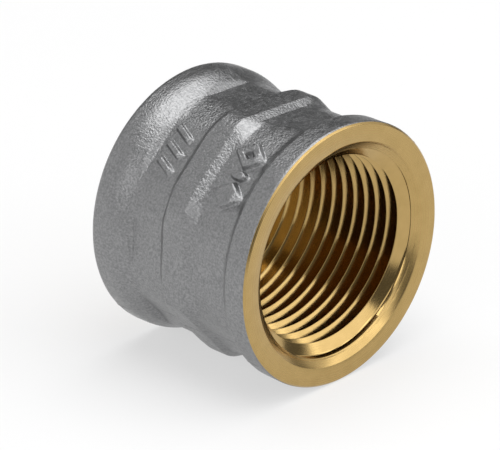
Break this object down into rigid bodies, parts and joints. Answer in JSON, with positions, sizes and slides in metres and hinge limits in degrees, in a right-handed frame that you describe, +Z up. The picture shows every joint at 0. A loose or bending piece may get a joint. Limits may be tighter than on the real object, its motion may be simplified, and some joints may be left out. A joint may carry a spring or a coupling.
{
  "type": "threaded pipe coupling",
  "caption": "Short straight pipe coupling with a female thread right through, round end collars and a faceted wrench band, nickel-plated outside and bare brass at the faces and thread.",
  "frame": {"origin": "on the surface the coupling lies on, under the middle of its length", "axes": "+X along the bore, out of the front mouth; +Z up; the coupling lies on its side"},
  "size_m": [0.0264, 0.0334, 0.0335],
  "materials": {
    "brass": "machined, bright, fine turning marks",
    "nickel": "matt grey nickel plate over a shot-blasted forging, finely grained"
  },
  "bodies": {
    "root": {"brass_body": "brass", "nickel_plating": "nickel"}
  },
  "joints": []
}
